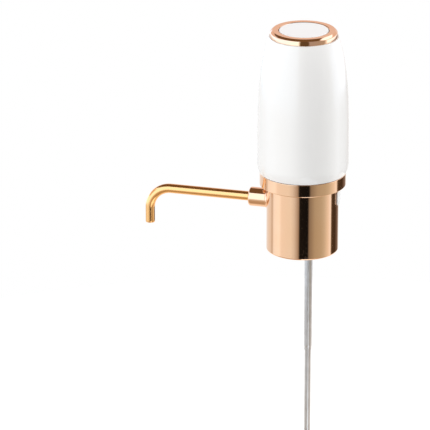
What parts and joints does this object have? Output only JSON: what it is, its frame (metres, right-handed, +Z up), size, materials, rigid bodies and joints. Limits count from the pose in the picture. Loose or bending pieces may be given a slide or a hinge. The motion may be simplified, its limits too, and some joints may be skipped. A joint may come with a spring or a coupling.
{
  "type": "electric wine aerator",
  "caption": "Barrel-shaped electric wine aerator on a bottle-neck sleeve, with a top push button, a swivelling bent spout, a diaphragm air pump and a telescopic suction tube.",
  "frame": {"origin": "centre of the plane where the bottle's rim meets the underside of the stopper's flange", "axes": "+Z up along the barrel's axis out of the bottle; -X along the spout, from the barrel to the outlet; +X towards the charging port"},
  "size_m": [0.1336, 0.0582, 0.4009],
  "materials": {
    "white_gloss": "gloss",
    "rose_gold": "mirror-polished, rose-gold anodised",
    "gold_pipe": "polished",
    "silicone": "satin",
    "white_flap": "satin",
    "seal": "satin",
    "steel": "brushed",
    "white_moulding": "satin",
    "black_moulding": "satin",
    "bronze": "satin",
    "magnet": "satin",
    "windings": "enamelled copper on laminated steel",
    "board": "satin",
    "cell_wrap": "satin",
    "red_wire": "satin",
    "black_wire": "satin"
  },
  "bodies": {
    "barrel": {"housing": "white_gloss", "top_ring": "rose_gold", "collar_ring": "rose_gold", "sleeve": "rose_gold", "stopper": "silicone", "manifold": "white_moulding", "manifold_screw_1": "steel", "manifold_screw_2": "steel", "manifold_screw_3": "steel", "spout_nipple": "steel", "spout_o_ring": "seal", "air_hose": "silicone", "pump_head": "black_moulding", "outlet_valve": "silicone", "valve_plate": "white_moulding", "diaphragm": "silicone", "pump_body": "black_moulding", "pump_screw_1": "steel", "pump_screw_2": "steel", "pump_screw_3": "steel", "motor_plate": "black_moulding", "motor_can": "steel", "motor_end_cap": "black_moulding", "front_bush": "bronze", "rear_bush": "bronze", "motor_magnet_1": "magnet", "motor_magnet_2": "magnet", "chassis_base": "black_moulding", "chassis_spine": "black_moulding", "battery_clamp": "black_moulding", "motor_clamp": "black_moulding", "battery_cell": "cell_wrap", "button_guide": "black_moulding", "button_spring": "steel", "switch_body": "black_moulding", "main_board": "board", "guide_screw_1": "steel", "guide_screw_2": "steel", "usb_socket": "steel", "charge_board": "board", "charge_lead": "red_wire", "motor_lead_1": "red_wire", "motor_lead_2": "black_wire", "battery_lead_1": "red_wire", "battery_lead_2": "black_wire", "dip_tube_upper": "steel"},
    "button": {"button_cap": "white_gloss"},
    "plunger": {"switch_plunger": "white_moulding"},
    "rotor": {"motor_shaft": "steel", "motor_armature": "windings", "drive_wheel": "white_moulding"},
    "nutator": {"wobble_plate": "white_moulding", "crank_pin": "steel"},
    "middle_tube": {"dip_tube_middle": "steel"},
    "lower_tube": {"dip_tube_lower": "steel", "dip_tube_foot": "silicone"},
    "spout": {"spout_ferrule": "rose_gold", "spout_tube": "gold_pipe"},
    "cover": {"port_cover": "white_flap"}
  },
  "joints": [
    {"name": "button_press", "type": "slide", "parent": "barrel", "child": "button", "axis": [0, 0, -1], "range_m": [0, 0.0012], "stiffness_N_per_m": 800, "springref_m": -0.002, "deforming": ["button_spring"]},
    {"name": "switch_press", "type": "slide", "parent": "barrel", "child": "plunger", "axis": [0, 0, -1], "range_m": [0, 0.0003]},
    {"name": "motor_spin", "type": "hinge", "parent": "barrel", "child": "rotor", "pos_m": [-0.0107, 0, 0.0458], "axis": [0, 0, 1], "continuous": true},
    {"name": "wobble_turn", "type": "hinge", "parent": "rotor", "child": "nutator", "pos_m": [-0.0107, 0, 0.0458], "axis": [0.1219, 0, 0.9925], "continuous": true, "deforming": ["diaphragm"]},
    {"name": "middle_tube_slide", "type": "slide", "parent": "barrel", "child": "middle_tube", "axis": [0, 0, 1], "range_m": [0, 0.086]},
    {"name": "lower_tube_slide", "type": "slide", "parent": "middle_tube", "child": "lower_tube", "axis": [0, 0, 1], "range_m": [0, 0.086]},
    {"name": "spout_swivel", "type": "hinge", "parent": "barrel", "child": "spout", "pos_m": [-0.0234, 0, 0.007], "axis": [-1, 0, 0], "continuous": true},
    {"name": "port_cover_hinge", "type": "hinge", "parent": "barrel", "child": "cover", "pos_m": [0.02375, 0, 0.0167], "axis": [0, -1, 0], "range_deg": [0, 90]}
  ],
  "couplings": [
    {"joint": "switch_press", "follows": "button_press", "ratio": 0.25},
    {"joint": "wobble_turn", "follows": "motor_spin", "ratio": -1}
  ]
}
